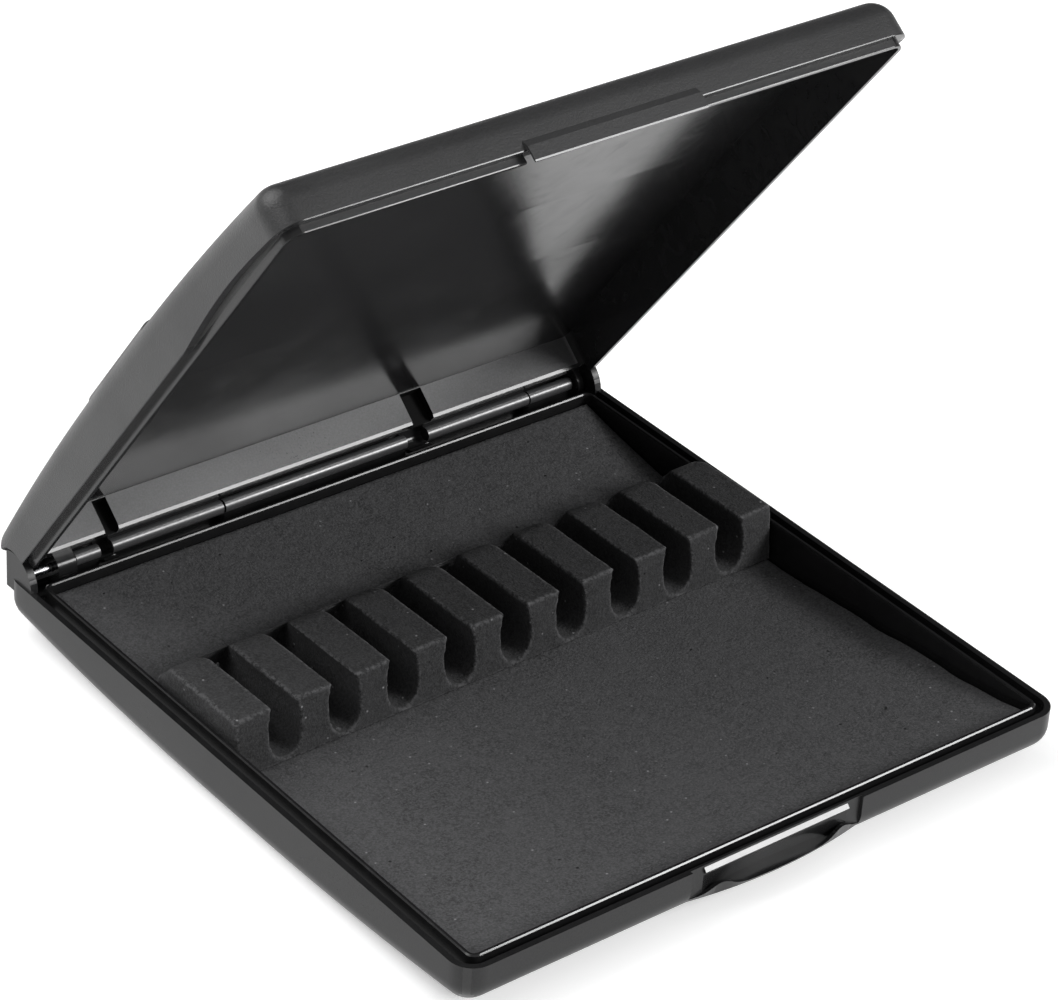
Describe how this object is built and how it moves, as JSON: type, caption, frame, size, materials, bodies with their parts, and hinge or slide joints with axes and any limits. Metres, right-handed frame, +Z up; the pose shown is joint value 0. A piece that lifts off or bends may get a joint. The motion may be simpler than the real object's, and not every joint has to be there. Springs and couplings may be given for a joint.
{
  "type": "slotted storage case",
  "caption": "Flat hinged pocket case, open, with a foam-lined tray and a slotted foam strip that holds slim tips or reeds.",
  "frame": {"origin": "middle of the flat land on the tray's underside", "axes": "+X to the right along the hinge, +Y from the front catch to the hinge, +Z up out of the tray"},
  "size_m": [0.092, 0.0994, 0.0858],
  "materials": {
    "tray_shell": "satin black",
    "lid_shell": "fine grain outside, gloss inside",
    "hinge_pin": "bright drawn wire",
    "foam_sheet": "matte closed-cell foam",
    "foam_strip": "matte closed-cell foam"
  },
  "bodies": {
    "tray": {"base_tray": "tray_shell", "hinge_pin_left": "hinge_pin", "hinge_pin_right": "hinge_pin", "foam_sheet": "foam_sheet", "foam_slotted_strip": "foam_strip"},
    "lid": {"lid_shell": "lid_shell"}
  },
  "joints": [
    {"name": "lid_hinge", "type": "hinge", "parent": "tray", "child": "lid", "pos_m": [0, 0.0459, 0.00762], "axis": [-1, 0, 0], "range_deg": [-53.9, 41.1]}
  ]
}
